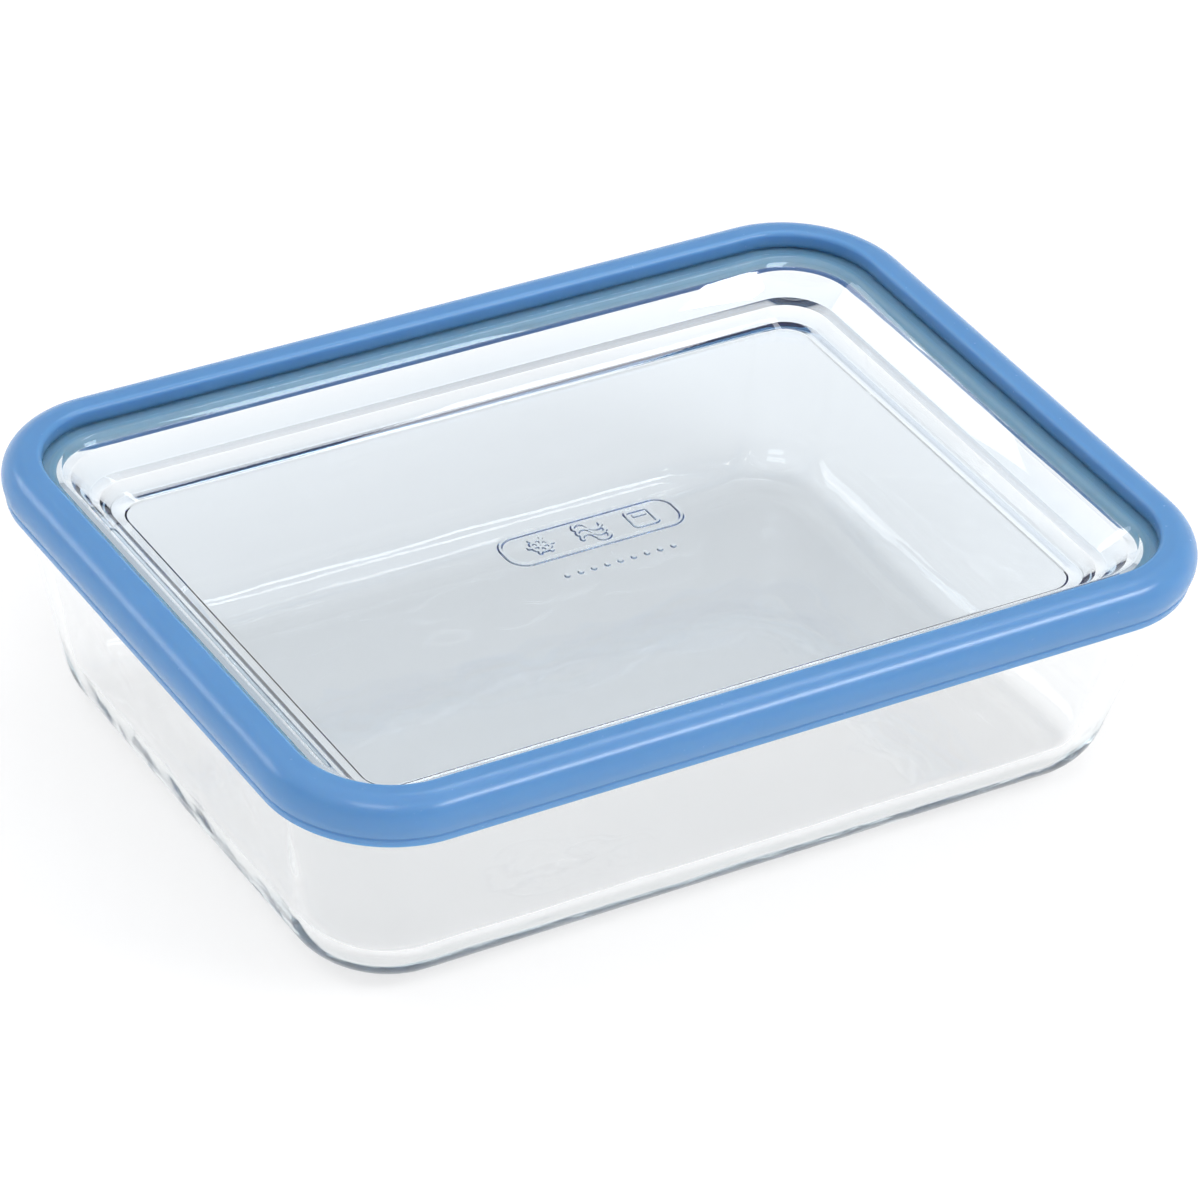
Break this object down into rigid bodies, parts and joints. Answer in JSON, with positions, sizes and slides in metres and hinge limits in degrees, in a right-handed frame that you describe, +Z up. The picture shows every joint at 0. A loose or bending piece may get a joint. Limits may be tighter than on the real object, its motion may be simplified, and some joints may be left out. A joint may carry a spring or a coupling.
{
  "type": "glass storage container",
  "caption": "Rectangular clear glass food storage dish with a clear recessed plastic lid held in a soft blue rubber rim.",
  "frame": {"origin": "middle of the flat foot of the dish, on the surface that it stands on", "axes": "+X along the length, +Y along the width, +Z up through the lid"},
  "size_m": [0.23, 0.168, 0.062],
  "materials": {
    "clear_glass": "fire-polished clear pressed glass",
    "clear_plastic": "polished clear moulded plastic",
    "soft_rim": "satin semi-translucent blue thermoplastic rubber"
  },
  "bodies": {
    "dish": {"glass_dish": "clear_glass"},
    "lid": {"lid_panel": "clear_plastic", "lid_rim": "soft_rim"}
  },
  "joints": [
    {"name": "lid_lift", "type": "slide", "parent": "dish", "child": "lid", "axis": [0, 0, 1], "range_m": [0, 0.1]}
  ]
}
